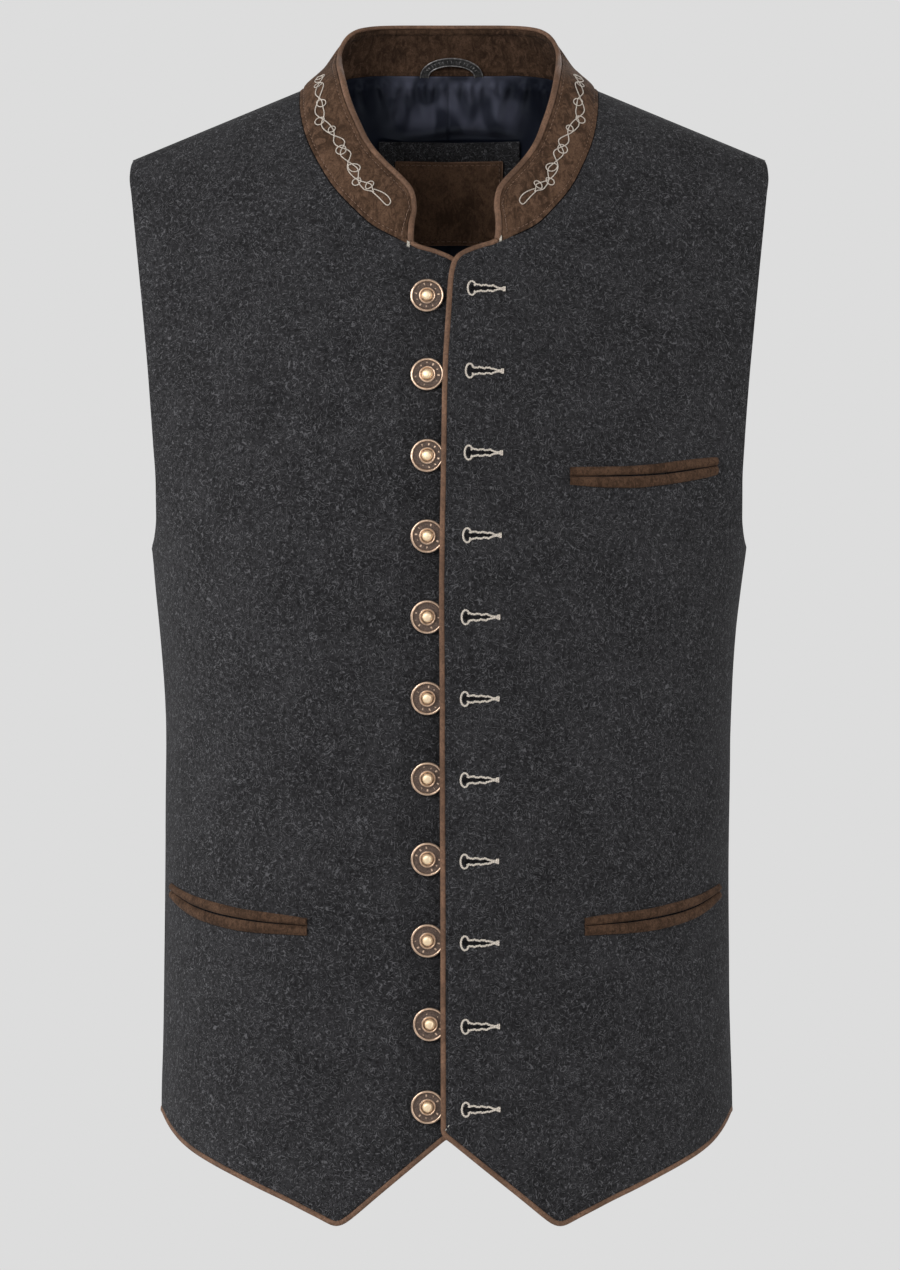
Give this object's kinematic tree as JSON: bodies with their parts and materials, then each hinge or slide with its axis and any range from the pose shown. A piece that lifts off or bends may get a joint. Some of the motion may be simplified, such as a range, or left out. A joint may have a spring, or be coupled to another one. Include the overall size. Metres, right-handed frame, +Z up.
{
  "type": "waistcoat",
  "caption": "Sleeveless folk vest in dark felted wool with a suede stand collar, leather piping, metal buttons and welt pockets, in the hollow form of a worn garment",
  "frame": {"origin": "the middle of the neck at the height of the shoulders' neck points, where the vest hangs on its wearer", "axes": "+X to the wearer's left, +Y to the back, +Z up; the front faces -Y"},
  "size_m": [0.3978, 0.2626, 0.7451],
  "materials": {
    "wool": "felted, heathered charcoal",
    "suede": "brown suede",
    "leather": "smooth tan piping",
    "satin": "navy satin lining",
    "brass": "antiqued, with a dark recessed ring",
    "gunmetal": "dark antiqued"
  },
  "bodies": {
    "root": {"front_right": "wool", "front_left": "wool", "back": "wool", "collar": "suede", "piping_collar": "leather", "piping_front_left": "leather", "piping_neck_right": "leather", "piping_hem_right": "leather", "welt_chest_upper": "suede", "welt_chest_lower": "suede", "welt_hip_left_upper": "suede", "welt_hip_left_lower": "suede", "welt_hip_right_upper": "suede", "welt_hip_right_lower": "suede", "back_lining": "satin", "label_backing": "wool", "label_patch": "suede", "hanger_loop": "gunmetal", "button_01": "brass", "button_02": "brass", "button_03": "brass", "button_04": "brass", "button_05": "brass", "button_06": "brass", "button_07": "brass", "button_08": "brass", "button_09": "brass", "button_10": "brass", "button_11": "brass"}
  },
  "joints": []
}
